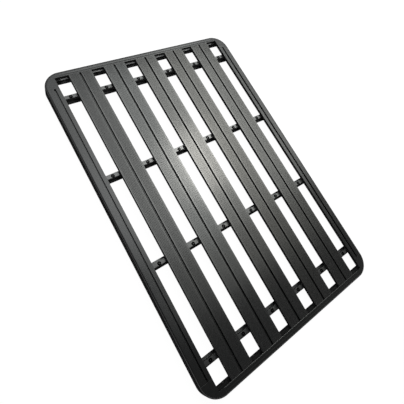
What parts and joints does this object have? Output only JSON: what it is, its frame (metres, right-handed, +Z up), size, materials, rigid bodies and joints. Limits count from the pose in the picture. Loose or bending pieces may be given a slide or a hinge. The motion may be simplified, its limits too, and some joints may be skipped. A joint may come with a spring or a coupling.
{
  "type": "flat platform roof rack",
  "caption": "Flat platform roof rack with a rounded perimeter frame and wide slotted planks over stepped crossbars, in black powder-coated aluminium.",
  "frame": {"origin": "middle of the footprint at the height of the underside, on which the rack rests", "axes": "+X to the vehicle's right across the planks, +Y forward along the planks, +Z up"},
  "size_m": [1.242, 1.842, 0.06],
  "materials": {
    "frame_coat": "fine-textured black powder coat, satin",
    "corner_coat": "fine-textured black powder coat on a casting, satin",
    "plank_coat": "fine-textured black powder coat, satin",
    "bar_coat": "fine-textured black powder coat, satin"
  },
  "bodies": {
    "root": {"side_rail_left": "frame_coat", "side_rail_right": "frame_coat", "end_rail_front": "frame_coat", "end_rail_rear": "frame_coat", "corner_front_left": "corner_coat", "corner_front_right": "corner_coat", "corner_rear_left": "corner_coat", "corner_rear_right": "corner_coat", "plank_1": "plank_coat", "plank_2": "plank_coat", "plank_3": "plank_coat", "plank_4": "plank_coat", "plank_5": "plank_coat", "crossbar_1": "bar_coat", "crossbar_2": "bar_coat", "crossbar_3": "bar_coat", "crossbar_4": "bar_coat"}
  },
  "joints": []
}
